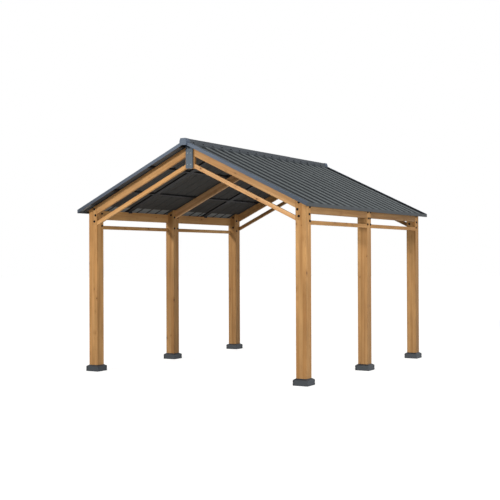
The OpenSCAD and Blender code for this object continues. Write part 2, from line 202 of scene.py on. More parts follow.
class CarportSteel(bpy.types.PropertyGroup):
    """Colours of the coated steel."""

    sheet: FloatVectorProperty(
        name="Roof sheet", description="Coating of the ribbed sheet", subtype="COLOR",
        size=3, min=0, max=1, default=(0.182, 0.204, 0.221))
    # Painted shade: darkens the pans of the sheet below the rib tops
    pan: FloatProperty(
        name="Pan grime", description="Share of the coat's tone left in the pans",
        min=0.2, max=1, default=0.42)
    backing: FloatVectorProperty(
        name="Backing", description="Primer on the back of the sheet", subtype="COLOR",
        size=3, min=0, max=1, default=(0.145, 0.145, 0.142))
    # Painted light: a paler band on the back of the pans along each eave, where daylight comes in
    # over the header
    eave_light: FloatVectorProperty(
        name="Bare backing", description="The paler back of the pans along the eaves",
        subtype="COLOR", size=3, min=0, max=1, default=(0.290, 0.312, 0.320))
    # Painted shade: the eave trims carry a darker copy of the gable trims' coat
    eave: FloatVectorProperty(
        name="Eave trim", description="Coating of the eave trims", subtype="COLOR",
        size=3, min=0, max=1, default=(0.074, 0.083, 0.090))
    # Painted shade: the ridge cap carries a darker copy of the gable trims' coat
    cap: FloatVectorProperty(
        name="Ridge cap", description="Coating of the ridge cap", subtype="COLOR",
        size=3, min=0, max=1, default=(0.096, 0.109, 0.124))
    trim: FloatVectorProperty(
        name="Trim", description="Coating of the gable trims and the ridge end caps",
        subtype="COLOR", size=3, min=0, max=1, default=(0.118, 0.150, 0.205))
    bracket: FloatVectorProperty(
        name="Bracket", description="Coating of the ridge brackets", subtype="COLOR",
        size=3, min=0, max=1, default=(0.077, 0.115, 0.164))
    section: FloatVectorProperty(
        name="Section", description="Coating of the purlins and the steel rafters", subtype="COLOR",
        size=3, min=0, max=1, default=(0.012, 0.012, 0.013))
    cover: FloatVectorProperty(
        name="Post cover", description="Coating of the covers at the feet", subtype="COLOR",
        size=3, min=0, max=1, default=(0.028, 0.036, 0.047))
    bolt: FloatVectorProperty(
        name="Bolt", description="Coating of the bolts", subtype="COLOR",
        size=3, min=0, max=1, default=(0.007, 0.007, 0.008))
    screw: FloatVectorProperty(
        name="Screw", description="Plating of the bracket screws", subtype="COLOR",
        size=3, min=0, max=1, default=(0.300, 0.340, 0.370))
    foam: FloatVectorProperty(
        name="Foam", description="Foam of the seals under the gable trims", subtype="COLOR",
        size=3, min=0, max=1, default=(0.012, 0.012, 0.013))


class CarportFastenings(bpy.types.PropertyGroup):
    """Sizes of the bolts and screws."""

    washer: FloatProperty(
        name="Washer", description="Diameter of the round washers", subtype="DISTANCE",
        min=0.015, max=0.05, default=0.032)
    head: FloatProperty(
        name="Bolt head", description="Width across the corners of a bolt head", subtype="DISTANCE",
        min=0.01, max=0.04, default=0.024)
    head_h: FloatProperty(
        name="Head height", description="How far a bolt head stands off its washer",
        subtype="DISTANCE", min=0.003, max=0.02, default=0.009)
    cap_screw: FloatProperty(
        name="Cap screw", description="Diameter of the washer of a ridge cap screw",
        subtype="DISTANCE", min=0.012, max=0.03, default=0.022)
    sheet_screw: FloatProperty(
        name="Sheet screw", description="Diameter of the washer of a sheet screw",
        subtype="DISTANCE", min=0.008, max=0.02, default=0.013)
    sides: IntProperty(
        name="Sides", description="Sides of a washer", min=12, max=64, default=24)


class CarportStage(bpy.types.PropertyGroup):
    """Camera and light."""

    lens: FloatProperty(
        name="Lens", description="Focal length of the camera in millimetres",
        min=20, max=200, default=71.01)
    key: FloatProperty(
        name="Key light", description="Strength of the sun lamp", min=0, max=20, default=1.65)
    fill: FloatProperty(
        name="Fill light", description="Power of the low panel on the right",
        min=0, max=2000, default=380.0)
    horizon: FloatProperty(
        name="Horizon", description="Strength of the world near the horizon",
        min=0, max=3, default=0.92)
    zenith: FloatProperty(
        name="Zenith", description="Strength of the world overhead",
        min=0, max=3, default=0.12)


def settings(context, group):
    """One group of the settings in the panel."""
    return getattr(context.scene, "carport_" + group)


# ---- Node helpers ----


def add_node(tree, kind, **values):
    """A new node with the given properties, set out beside the last one."""
    node = tree.nodes.new(kind)
    row, column = divmod(len(tree.nodes), 12)
    node.location = (220 * column, -320 * row)
    for name, value in values.items():
        setattr(node, name, value)
    return node


def put(tree, socket, value):
    """Links a socket to an input, or sets the input to anything else."""
    if isinstance(value, bpy.types.NodeSocket):
        tree.links.new(value, socket)
    else:
        socket.default_value = value


def feed(tree, node, **inputs):
    """Puts a value into each input, named with underscores for spaces or numbered: i0, i1, i2."""
    for name, value in inputs.items():
        key = int(name[1:]) if name[0] == "i" and name[1:].isdigit() else name.replace("_", " ")
        put(tree, node.inputs[key], value)
    return node


def calc(tree, operation, a, b=0.0, c=None):
    """One Math node; returns its result."""
    node = feed(tree, add_node(tree, "ShaderNodeMath", operation=operation), i0=a, i1=b)
    if c is not None:
        feed(tree, node, i2=c)
    return node.outputs[0]


def vector_calc(tree, operation, a, b, c=None):
    """One Vector Math node; returns its result."""
    node = feed(tree, add_node(tree, "ShaderNodeVectorMath", operation=operation), i0=a, i1=b)
    if c is not None:
        feed(tree, node, i2=c)
    return node.outputs[0]


def parted(tree, vector):
    """The X, Y and Z of a vector."""
    return feed(tree, add_node(tree, "ShaderNodeSeparateXYZ"), i0=vector).outputs


def remap(tree, value, low, high, to_low=0.0, to_high=1.0, smooth=False):
    """A clamped Map Range node."""
    node = add_node(tree, "ShaderNodeMapRange")
    if smooth:
        node.interpolation_type = "SMOOTHSTEP"
    feed(tree, node, Value=value, From_Min=low, From_Max=high, To_Min=to_low, To_Max=to_high)
    return node.outputs["Result"]


def blend_colour(tree, factor, a, b, mode="MIX"):
    """One Mix node for colours; returns its result."""
    node = add_node(tree, "ShaderNodeMix", data_type="RGBA", blend_type=mode)
    sockets = {s.identifier: s for s in node.inputs}
    for key, value in (("Factor_Float", factor), ("A_Color", a), ("B_Color", b)):
        put(tree, sockets[key], value)
    return next(s for s in node.outputs if s.identifier == "Result_Color")


def toned(tree, colour, level):
    """A colour at a share of its own tone."""
    tint = feed(tree, add_node(tree, "ShaderNodeCombineColor"), Red=level, Green=level, Blue=level)
    return blend_colour(tree, 1.0, colour, tint.outputs[0], "MULTIPLY")


def noise(tree, vector, scale, detail=2.0, roughness=0.5, out="Fac"):
    """One Noise Texture, its scale in waves per metre."""
    node = add_node(tree, "ShaderNodeTexNoise")
    feed(tree, node, Vector=vector, Scale=scale, Detail=detail, Roughness=roughness)
    return node.outputs[out]


def stretched(tree, vector, scale):
    """A vector scaled along each of its axes."""
    node = add_node(tree, "ShaderNodeMapping")
    return feed(tree, node, Vector=vector, Scale=scale).outputs[0]


def new_group(name, inputs):
    """An empty shader node group with the named inputs, and a colour, roughness and height out."""
    tree = bpy.data.node_groups.new(name, "ShaderNodeTree")
    for title, kind, value in inputs:
        socket = tree.interface.new_socket(title, in_out="INPUT", socket_type="NodeSocket" + kind)
        if value is not None:
            socket.default_value = value
    for title, kind in (("Color", "Color"), ("Roughness", "Float"), ("Height", "Float")):
        tree.interface.new_socket(title, in_out="OUTPUT", socket_type="NodeSocket" + kind)
    return tree, tree.nodes.new("NodeGroupInput"), tree.nodes.new("NodeGroupOutput")


def opaque(colour):
    """A colour with its alpha of one."""
    return (*colour, 1.0)


def backdrop_ray(tree):
    """1 for the rays that see the backdrop itself: camera, glossy and transmission rays."""
    rays = add_node(tree, "ShaderNodeLightPath")
    seen = calc(tree, "MAXIMUM", rays.outputs["Is Camera Ray"], rays.outputs["Is Glossy Ray"])
    return calc(tree, "MAXIMUM", seen, rays.outputs["Is Transmission Ray"])


# ---- Shared effects ----

# Figure of the wood, with the grain along Z: noise scales are in waves per metre
LOG_SHIFT = (3.17, 5.71, 8.93)      # metres through the log for one step of a piece's number
WANDER_SCALE = 9.0
KNOT_SCALE = 11.0
KNOT_STRETCH = (1.0, 1.0, 0.55)
KNOT_RAGGED = (0.010, 0.010, 0.014)
KNOT_CHANCE = (0.22, 0.25)          # a cell whose random number is lower has no knot
KNOT_SIZE = (0.050, 0.140)          # smallest and largest, as shares of a cell
KNOT_HEART = (0.55, 1.0)            # in knot sizes from its middle: where the dark heart fades out
KNOT_HALO = (0.8, 3.2)              # and where the darker grain round it does
RING_BEND = (0.060, 0.060, 0.0)
RING_PUSH = 0.011                   # how far a knot pushes the rings aside
RING_SLANT = 0.45                   # how far the rings lie askew of the faces
LATE_POWER = 2.6                    # a higher power keeps the late wood to a narrower line
BEND_SCALE = (5.0, 5.0, 0.9)
SOFTEN_SCALE = (30.0, 30.0, 1.4)
FIBRE_SCALE = (420.0, 420.0, 7.0)
PORE_SCALE = (900.0, 900.0, 40.0)
BAND_SCALE = (21.0, 21.0, 0.7)
TONE_SCALE = 2.6
TONE_RANGE = (0.88, 1.10)

# Figure of the powder coat
CLOUD_SCALE = 2.3
RUN_SCALE = (14.0, 60.0, 14.0)
PEEL_SCALE = 900.0
SPECK_SCALE = 260.0
DUST = (0.34, 0.33, 0.31, 1)


def wood_group():
    """Growth rings, fibres, tone bands and knots, with the grain along Z of its vector."""
    name = "Stained wood"
    if name in bpy.data.node_groups:
        return bpy.data.node_groups[name]
    tree, given, result = new_group(
        name,
        [("Vector", "Vector", None), ("Piece", "Float", 0.0),
         ("Stain", "Color", (0.5, 0.3, 0.1, 1)), ("Streak", "Color", (0.3, 0.15, 0.05, 1)),
         ("Pale", "Color", (0.7, 0.4, 0.2, 1)), ("Knot", "Color", (0.1, 0.05, 0.02, 1)),
         ("Rings per metre", "Float", 180.0), ("Roughness", "Float", 0.6), ("Shade", "Float", 1.0)])
    stain, streak, pale, knot = (given.outputs[k] for k in ("Stain", "Streak", "Pale", "Knot"))
    here = vector_calc(tree, "MULTIPLY_ADD",
                       given.outputs["Piece"], LOG_SHIFT, given.outputs["Vector"])

    # A knot is a small ball, drawn out a little along the grain
    wander = noise(tree, here, WANDER_SCALE, 1.0, out="Color")
    ragged = vector_calc(tree, "MULTIPLY_ADD", wander, KNOT_RAGGED, here)
    cells = add_node(tree, "ShaderNodeTexVoronoi")
    feed(tree, cells, Vector=stretched(tree, ragged, KNOT_STRETCH),
         Scale=KNOT_SCALE, Randomness=1.0)
    chance = add_node(tree, "ShaderNodeSeparateColor")
    feed(tree, chance, i0=cells.outputs["Color"])
    present = remap(tree, chance.outputs[0], *KNOT_CHANCE)
    size = remap(tree, chance.outputs[1], 0.0, 1.0, *KNOT_SIZE)
    near = calc(tree, "DIVIDE", cells.outputs["Distance"], size)
    heart = calc(tree, "MULTIPLY", remap(tree, near, *KNOT_HEART, 1.0, 0.0, smooth=True), present)
    halo = calc(tree, "MULTIPLY", remap(tree, near, *KNOT_HALO, 1.0, 0.0, smooth=True), present)

    # Growth rings: bent by slow noise, pushed aside by the knots and softened in places
    slow = noise(tree, stretched(tree, here, BEND_SCALE), 1.0, out="Color")
    bent = parted(tree, vector_calc(tree, "MULTIPLY_ADD", slow, RING_BEND, here))
    across = calc(tree, "MULTIPLY_ADD", bent[1], RING_SLANT, bent[0])
    pushed = calc(tree, "MULTIPLY_ADD", halo, RING_PUSH, across)
    ring = calc(tree, "FRACT", calc(tree, "MULTIPLY", pushed, given.outputs["Rings per metre"]))
    soften = noise(tree, stretched(tree, here, SOFTEN_SCALE), 1.0, 3.0)
    late = calc(tree, "POWER", ring, LATE_POWER)
    late = calc(tree, "MULTIPLY", late, remap(tree, soften, 0.35, 0.68))

    # Fibres, fine pores and broad tone bands
    fibre = noise(tree, stretched(tree, here, FIBRE_SCALE), 1.0, 3.0, 0.6)
    pore = noise(tree, stretched(tree, here, PORE_SCALE), 1.0, 1.0)
    band = noise(tree, stretched(tree, here, BAND_SCALE), 1.0, 2.0, 0.55)
    tone = noise(tree, here, TONE_SCALE)

    # Over the bands lie the stain, the late wood, dark and light fibres, and the knots
    colour = blend_colour(tree, remap(tree, band, 0.36, 0.64), streak, pale)
    for share, layer in ((0.45, stain),
                         (calc(tree, "MULTIPLY", late, 0.60), streak),
                         (remap(tree, fibre, 0.52, 0.30, 0.0, 0.45), streak),
                         (remap(tree, fibre, 0.56, 0.74, 0.0, 0.30), pale),
                         (calc(tree, "MULTIPLY", halo, 0.50), streak),
                         (calc(tree, "MULTIPLY", heart, 0.92), knot)):
        colour = blend_colour(tree, share, colour, layer)
    shade = calc(tree, "MULTIPLY", remap(tree, tone, 0.3, 0.7, *TONE_RANGE), given.outputs["Shade"])
    put(tree, result.inputs["Color"], toned(tree, colour, shade))

    # Late wood and knots are smoother; fibres and late wood stand proud, knots lie a little low
    rough = remap(tree, fibre, 0.3, 0.7)
    rough = calc(tree, "MULTIPLY_ADD", rough, 0.10, given.outputs["Roughness"])
    rough = calc(tree, "MULTIPLY_ADD", late, -0.06, rough)
    put(tree, result.inputs["Roughness"], calc(tree, "MULTIPLY_ADD", heart, -0.12, rough))
    relief = calc(tree, "MULTIPLY_ADD", fibre, 0.55, calc(tree, "MULTIPLY", late, 0.35))
    relief = calc(tree, "MULTIPLY_ADD", pore, 0.20, relief)
    put(tree, result.inputs["Height"], calc(tree, "MULTIPLY_ADD", heart, -0.5, relief))
    return tree


def coating_group():
    """A powder coat: fine orange peel, faint cloudiness and a little dust."""
    name = "Powder coat"
    if name in bpy.data.node_groups:
        return bpy.data.node_groups[name]
    tree, given, result = new_group(
        name,
        [("Vector", "Vector", None), ("Coat", "Color", (0.1, 0.1, 0.1, 1)),
         ("Cloud", "Float", 0.10), ("Dust", "Float", 0.10), ("Roughness", "Float", 0.45)])
    here = given.outputs["Vector"]
    cloud = calc(tree, "SUBTRACT", noise(tree, here, CLOUD_SCALE, 3.0, 0.6), 0.5)
    run = calc(tree, "SUBTRACT", noise(tree, stretched(tree, here, RUN_SCALE), 1.0), 0.5)
    spread = calc(tree, "MULTIPLY", cloud, given.outputs["Cloud"])
    spread = calc(tree, "MULTIPLY_ADD", run, 0.05, spread)
    colour = toned(tree, given.outputs["Coat"], calc(tree, "MULTIPLY_ADD", spread, 2.0, 1.0))
    speck = remap(tree, noise(tree, here, SPECK_SCALE, roughness=0.7), 0.52, 0.80)
    dusty = calc(tree, "MULTIPLY", speck, given.outputs["Dust"])
    put(tree, result.inputs["Color"], blend_colour(tree, dusty, colour, DUST))
    rough = calc(tree, "MULTIPLY_ADD", cloud, 0.16, given.outputs["Roughness"])
    put(tree, result.inputs["Roughness"], calc(tree, "MULTIPLY_ADD", dusty, 0.4, rough))
    put(tree, result.inputs["Height"], noise(tree, here, PEEL_SCALE))
    return tree


# ---- Materials ----

# Painted light and shade: the tone of each piece, and how far its stain is moved toward grey, stand
# in for how light and shade fall on that piece
PAINTED_LIGHT_TONES = {
    "post_front_left": (1.20, 0.0), "post_front_right": (1.08, 0.0),
    "post_middle_left": (0.85, 0.0), "post_middle_right": (0.96, 0.02),
    "post_back_left": (0.86, 0.0), "post_back_right": (0.88, 0.0),
    "header_front_right": (0.74, 0.03), "header_back_right": (0.60, 0.03),
    "front_rafter_left": (1.19, 0.04), "front_rafter_right": (1.22, 0.10),
    "front_chord_left": (1.38, 0.02), "front_chord_right": (1.58, 0.14),
    "middle_rafter_left": (1.70, 0.14), "middle_rafter_right": (1.60, 0.10),
    "back_chord_left": (0.85, 0.0), "back_chord_right": (0.85, 0.0),
}
GREY_SHARES = (0.2126, 0.7152, 0.0722)   # of red, green and blue in a colour's grey

# A piece's number sets where in the log it is cut; these are the steps from one to the next
NODE_STEP = 0.37
END_BOARD_STEPS = (0.61, 0.23)   # from the left or front board to its pair, and to the outer ones
RAIL_STEPS = (0.43, 0.0)
STRIP_STEPS = (0.31, 0.53)       # between the strips that a post is glued up from, along X and Y
STRIP_W = 0.0467
OUTER = 1.0                      # a board further out than this stands by a corner post
FOOT_SHADE_HEIGHTS = (0.1, 2.0)           # heights between which a post's painted shade at its foot fades out

# Painted light and shade on the roof: each pair of a distance from the ridge and a tone there
BACKING_PAINTED_FADE = ((0.3, 1.30), (1.5, 0.62))
TRIM_PAINTED_FADE = ((0.1, 1.26), (1.65, 0.62))
FLANGE_PAINTED_TONE = 1.12
PAN_SHADE_LEVELS = (0.0004, 0.0045)  # heights above the pans between which the painted shade in the pans ends
EAVE_LIGHT_W = 0.045                   # width of the band of painted light on the back of the sheet, inside the header
EAVE_LIGHT_EDGE = 0.008


def plain_material(name, effect, values, bump, distance, specular=0.5):
    """A material whose Principled shader is fed by one shared effect on Object coordinates."""
    material = bpy.data.materials.new(name)
    material.use_nodes = True
    tree = material.node_tree
    coords = add_node(tree, "ShaderNodeTexCoord").outputs["Object"]
    group = add_node(tree, "ShaderNodeGroup", node_tree=effect)
    feed(tree, group, Vector=coords, **values)
    relief = add_node(tree, "ShaderNodeBump")
    feed(tree, relief, Strength=bump, Distance=distance, Height=group.outputs["Height"])
    feed(tree, tree.nodes["Principled BSDF"], Base_Color=group.outputs["Color"],
         Roughness=group.outputs["Roughness"], Specular_IOR_Level=specular,
         Normal=relief.outputs["Normal"])
    return material


def effect_of(material):
    """A material's node tree, the node of its shared effect and its Object coordinates."""
    tree = material.node_tree
    group = next(n for n in tree.nodes if n.type == "GROUP")
    coords = next(n for n in tree.nodes if n.type == "TEX_COORD").outputs["Object"]
    return tree, group, coords


def greyed(colour, share):
    """A stain with part of its colour taken out, for painted light and shade: each channel moves
    toward the stain's own grey.
    """
    grey = sum(c * weight for c, weight in zip(colour, GREY_SHARES))
    return opaque(tuple(c + (grey - c) * share for c in colour))


def timber_material(context, node, turn, piece, split=None, middle=None):
    """Stained wood for one node, with its grain turned to lie along one way.

    turn is the rotation that brings the grain onto Z.  split names the axis across which
    the boards of one node differ, so that neighbours aren't cut from one log.
    middle is the plan middle of a post, which is glued up from strips each way."""
    timber = settings(context, "timber")
    # Painted light and shade: the piece's listed tone and greying stand in for how it is lit
    shade, painted_grey_share = PAINTED_LIGHT_TONES.get(node, (1.0, 0.0))
    material = plain_material(
        "wood_" + node, wood_group(),
        dict(Stain=greyed(timber.base, painted_grey_share), Streak=greyed(timber.streak, painted_grey_share),
             Pale=greyed(timber.pale, painted_grey_share), Knot=opaque(timber.knot), Piece=piece, Shade=shade,
             Rings_per_metre=1.0 / timber.ring, Roughness=timber.roughness),
        bump=0.55, distance=0.0006, specular=0.30)
    tree, group, coords = effect_of(material)
    turned = feed(tree, add_node(tree, "ShaderNodeMapping"), Vector=coords, Rotation=turn)
    feed(tree, group, Vector=turned.outputs[0])
    place = parted(tree, coords) if split or middle else None
    number = piece
    if split:
        axis, (side, far) = split
        number = calc(tree, "MULTIPLY_ADD", calc(tree, "SIGN", place[axis]), side, number)
        outer = calc(tree, "GREATER_THAN", calc(tree, "ABSOLUTE", place[axis]), OUTER)
        number = calc(tree, "MULTIPLY_ADD", outer, far, number)
    if middle:
        for axis, centre, step in zip("XY", middle, STRIP_STEPS):
            strip = calc(tree, "MULTIPLY_ADD", place[axis], 1 / STRIP_W, 0.5 - centre / STRIP_W)
            number = calc(tree, "MULTIPLY_ADD", calc(tree, "FLOOR", strip), step, number)
        # Painted shade: each post grows darker toward its foot
        feed(tree, group, Shade=remap(tree, place["Z"], *FOOT_SHADE_HEIGHTS, timber.foot * shade, shade))
    feed(tree, group, Piece=number)
    return material


def steel_material(name, colour, roughness, cloud=0.10, dust=0.08, specular=0.5):
    """A coated steel."""
    return plain_material(
        name, coating_group(),
        dict(Coat=opaque(colour), Cloud=cloud, Dust=dust, Roughness=roughness),
        bump=0.12, distance=0.0002, specular=specular)


def out_from_ridge(tree, coords):
    """How far a point lies to either side of the ridge."""
    return calc(tree, "ABSOLUTE", parted(tree, coords)["X"])


def above_ribs(tree, coords):
    """A point's height over the plane of the rib tops, square to its slope; negative below it."""
    fall = calc(tree, "MULTIPLY", out_from_ridge(tree, coords), math.sin(PITCH))
    height = parted(tree, coords)["Z"]
    rise = calc(tree, "MULTIPLY_ADD", height, math.cos(PITCH), -APEX_Z * math.cos(PITCH))
    return calc(tree, "ADD", fall, rise)


def faded(tree, coords, ends):
    """A tone that runs from one (distance, tone) near the ridge to another near the eaves."""
    (near, near_tone), (far, far_tone) = ends
    return remap(tree, out_from_ridge(tree, coords), near, far, near_tone, far_tone)


def face_normal(tree):
    """The X, Y and Z of the way a face looks."""
    return parted(tree, add_node(tree, "ShaderNodeNewGeometry").outputs["True Normal"])


def sheet_material(context):
    """The sheet's coat, with painted shade darkening the pans below the rib tops while the ribs
    keep the full coat.  The back has a plain primer, with painted light and shade that runs from
    lighter by the ridge to darker toward the eaves, and painted light in a paler band along each
    eave."""
    steel = settings(context, "steel")
    material = steel_material("coat_roof_sheet", steel.sheet, 0.75, 0.14, specular=0.0)
    tree, group, coords = effect_of(material)
    level = above_ribs(tree, coords)
    # Painted shade in the pans: the coat is darkened below the rib tops
    shaded_level, unshaded_level = (height - RIB_H for height in PAN_SHADE_LEVELS)
    coat = toned(tree, opaque(steel.sheet), remap(tree, level, shaded_level, unshaded_level, steel.pan, 1.0))
    # Painted light: a paler band on the back of the pans, just inside each header
    line = HEADER_IN - EAVE_LIGHT_W
    eave_light = remap(tree, out_from_ridge(tree, coords), line - EAVE_LIGHT_EDGE, line + EAVE_LIGHT_EDGE)
    eave_light = calc(tree, "MULTIPLY", eave_light, calc(tree, "LESS_THAN", level, -RIB_H))
    # Painted light and shade on the back of the sheet: lighter by the ridge, darker toward the
    # eaves
    backing = toned(tree, opaque(steel.backing), faded(tree, coords, BACKING_PAINTED_FADE))
    backing = blend_colour(tree, eave_light, backing, opaque(steel.eave_light))
    behind = calc(tree, "LESS_THAN", face_normal(tree)["Z"], 0.0)
    feed(tree, group, Coat=blend_colour(tree, behind, coat, backing))
    return material


def trim_material(context):
    """The trims' coat with painted light and shade: its upright faces grow darker from the ridge
    down to the eaves, and its other faces are lighter by a set tone.
    """
    steel = settings(context, "steel")
    material = steel_material("coat_roof_trim", steel.trim, 0.65, specular=0.2)
    tree, group, coords = effect_of(material)
    # Painted light and shade: upright faces fade darker toward the eaves, the other faces are lit
    # by a set tone
    upright = calc(tree, "GREATER_THAN", calc(tree, "ABSOLUTE", face_normal(tree)["Y"]), 0.5)
    change = calc(tree, "SUBTRACT", faded(tree, coords, TRIM_PAINTED_FADE), FLANGE_PAINTED_TONE)
    level = calc(tree, "MULTIPLY_ADD", change, upright, FLANGE_PAINTED_TONE)
    feed(tree, group, Coat=toned(tree, opaque(steel.trim), level))
    return material


def dress(node, material):
    """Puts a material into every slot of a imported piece."""
    mesh = NODES[node].data
    if not mesh.materials:
        mesh.materials.append(material)
    for index in range(len(mesh.materials)):
        mesh.materials[index] = material


# ---- Mesh helpers ----


def finish_piece(name, bm, material):
    """Makes one object from a bmesh, at the origin, riding on the frame."""
    mesh = bpy.data.meshes.new(name)
    bm.to_mesh(mesh)
    bm.free()
    if not mesh.polygons:
        raise RuntimeError(name + " has no faces")
    mesh.materials.append(material)
    piece = bpy.data.objects.new(name, mesh)
    bpy.context.scene.collection.objects.link(piece)
    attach(piece, "root")


def ease(bm, edges, width):
    """Rounds some edges over."""
    bmesh.ops.bevel(bm, geom=edges, offset=width, offset_type="OFFSET", segments=2, profile=0.5,
                    affect="EDGES", material=-1)


def add_stub(bm, sides, radius, seat, height, easing):
    """Adds a closed stub of so many sides, standing on z = seat, with its top edge eased."""
    bmesh.ops.create_cone(bm, cap_ends=True, segments=sides, radius1=radius, radius2=radius,
                          depth=height, matrix=Matrix.Translation((0, 0, seat + height / 2)))
    top = seat + height
    ease(bm, [e for e in bm.edges if all(abs(v.co.z - top) < 1e-6 for v in e.verts)], easing)


# A fastener is a round washer with a six-sided head, which starts just inside it at its seat.
# Its roll is how far the head of each is turned on from the one before.
Fastener = namedtuple(
    "Fastener", "washer thickness sides washer_ease head seat head_h head_ease roll")


def fasteners(context):
    """Every kind of fastener, at the sizes set in the panel."""
    sizes = settings(context, "fastenings")
    return {
        "frame bolt": Fastener(sizes.washer / 2, 0.0022, sizes.sides, 0.0008,
                               sizes.head / 2, 0.0018, sizes.head_h, 0.0016, 0.7),
        "plate bolt": Fastener(0.011, 0.0018, 20, 0.0006, 0.0085, 0.0015, 0.006, 0.0012, 0.0),
        "bracket screw": Fastener(0.0085, 0.0012, 20, 0.0005, 0.0055, 0.0010, 0.0045, 0.0010, 0.4),
        "cap screw": Fastener(sizes.cap_screw / 2, 0.0022, 24, 0.0008,
                              sizes.cap_screw * 0.32, 0.0020, 0.0080, 0.0014, 0.9),
        "sheet screw": Fastener(sizes.sheet_screw / 2, 0.0014, 16, 0.0005,
                                sizes.sheet_screw * 0.36, 0.0012, 0.0046, 0.0009, 0.7),
        "cover screw": Fastener(0.0065, 0.0012, 20, 0.0004, 0.0045, 0.0010, 0.0040, 0.0008, 0.6),
    }


def facing(point, normal, roll):
    """A matrix that stands local Z along a normal at a point, rolled about it."""
    turn = Vector(normal).to_track_quat("Z", "Y").to_matrix().to_4x4()
    return Matrix.Translation(point) @ turn @ Matrix.Rotation(roll, 4, "Z")


def set_out(name, kind, places, material):
    """One piece with a fastener of one kind at each place, given as (point, normal, roll)."""
    bm = bmesh.new()
    add_stub(bm, kind.sides, kind.washer, 0.0, kind.thickness, kind.washer_ease)
    add_stub(bm, 6, kind.head, kind.seat, kind.head_h, kind.head_ease)
    pattern = bpy.data.meshes.new("pattern")
    bm.to_mesh(pattern)
    bm.clear()
    for point, normal, roll in places:
        start = len(bm.verts)
        bm.from_mesh(pattern)
        bm.verts.ensure_lookup_table()
        bmesh.ops.transform(bm, matrix=facing(point, normal, roll), verts=bm.verts[start:])
    bpy.data.meshes.remove(pattern)
    finish_piece(name, bm, material)


# ---- Operators ----


class CARPORT_OT_finish_timber(bpy.types.Operator):
    """Give every timber its stained finish, with the grain along the piece"""
    bl_idname = "carport.finish_timber"
    bl_label = "Finish timber"

    def execute(self, context):
        upright = (0, 0, 0)
        along_ridge = (math.pi / 2, 0, 0)
        down_slope = {"left": (0, math.pi / 2 + PITCH, 0), "right": (0, math.pi / 2 - PITCH, 0)}
        piece = 0.0
        for node in sorted(NODES):
            piece += NODE_STEP
            turn, split, middle = upright, None, None
            if node.startswith("post_"):
                low, high = corners(node)
                middle = ((low.x + high.x) / 2, (low.y + high.y) / 2)
            elif node.endswith("end_boards"):
                split = ("X" if node.startswith(("front", "back")) else "Y", END_BOARD_STEPS)
            elif node.startswith("header_"):
                turn = along_ridge
            elif node.startswith("rails_"):
                turn, split = along_ridge, ("Y", RAIL_STEPS)
            elif "_rafter_" in node or "_chord_" in node:
                turn = down_slope[node.rsplit("_", 1)[1]]
            else:
                continue
            dress(node, timber_material(context, node, turn, piece, split, middle))
        return {"FINISHED"}


class CARPORT_OT_finish_steel(bpy.types.Operator):
    """Give the roof, trims, sections, brackets and covers their coatings"""
    bl_idname = "carport.finish_steel"
    bl_label = "Finish steel"

    def execute(self, context):
        steel = settings(context, "steel")
        coats = {
            "roof_sheet": sheet_material(context),
            "roof_trim": trim_material(context),
            "purlin_steel": steel_material("coat_section", steel.section, 0.60, dust=0.02,
                                           specular=0.15),
            "bracket_steel": steel_material("coat_bracket", steel.bracket, 0.42),
            "base_cover": steel_material("coat_post_cover", steel.cover, 0.50, specular=0.35),
        }
        for part in frame["record"]["subparts"]:
            coat = coats.get(part["material_slot"])
            if coat:
                dress(part["node"], coat)
        # Painted shade: a darker copy of the trims' coat on the eave trims
        dress("eave_trims", steel_material("coat_eave_trim", steel.eave, 0.65, specular=0.2))
        # Painted shade: a darker copy of the trims' coat on the ridge cap
        dress("ridge_cap", steel_material("coat_ridge_cap", steel.cap, 0.65, specular=0.2))
        for _, name in SIDES:
            dress("joint_strap_" + name, coats["purlin_steel"])
        return {"FINISHED"}


class CARPORT_OT_bolt_frames(bpy.types.Operator):
    """Bolt the gable and side frames to the posts, with nuts where the bolts come through"""
    bl_idname = "carport.bolt_frames"
    bl_label = "Bolt frames"

    def execute(self, context):
        steel = settings(context, "steel")
        coat = steel_material("coat_bolt", steel.bolt, 0.55, dust=0.02, specular=0.10)
        kind = fasteners(context)["frame bolt"]
        groups = {name: [] for name in ("bolts_front_gable", "bolts_back_gable", "bolts_left_side",
                                        "bolts_right_side", "bolts_middle_posts")}
        board_ends = ((-IN_Y, -1, SIDE_BOLTS), (-POST_W / 2, 1, MIDDLE_BOLTS),
                      (POST_W / 2, -1, MIDDLE_BOLTS), (IN_Y, 1, SIDE_BOLTS))
        roll = 0.0
        for side, flank in SIDES:
            for end, gable in ENDS:
                group = groups["bolts_" + gable + "_gable"]
                for inset, rise, comes_through in GABLE_BOLTS:
                    roll += kind.roll
                    x, z = side * (IN_X + inset), GABLE_BOARD_Z + rise
                    group.append(((x, end * OUT_Y, z), (0, end, 0), roll))
                    if comes_through:
                        group.append(((x, end * IN_Y, z), (0, -end, 0), roll))
            group = groups["bolts_" + flank + "_side"]
            for edge, away, row in board_ends:
                for inset, rise, comes_through in row:
                    roll += kind.roll
                    y, z = edge + away * inset, SIDE_BOARD_Z + rise
                    group.append(((side * OUT_X, y, z), (side, 0, 0), roll))
                    if comes_through:
                        group.append(((side * IN_X, y, z), (-side, 0, 0), roll))
            inset, rise = RAFTER_BOLT
            for end, _ in ENDS:
                point = (side * (IN_X + inset), end * POST_W / 2, GABLE_BOARD_Z + rise)
                groups["bolts_middle_posts"].append((point, (0, end, 0), RAFTER_BOLT_ROLL))
        for name, places in groups.items():
            set_out(name, kind, places, coat)
        return {"FINISHED"}


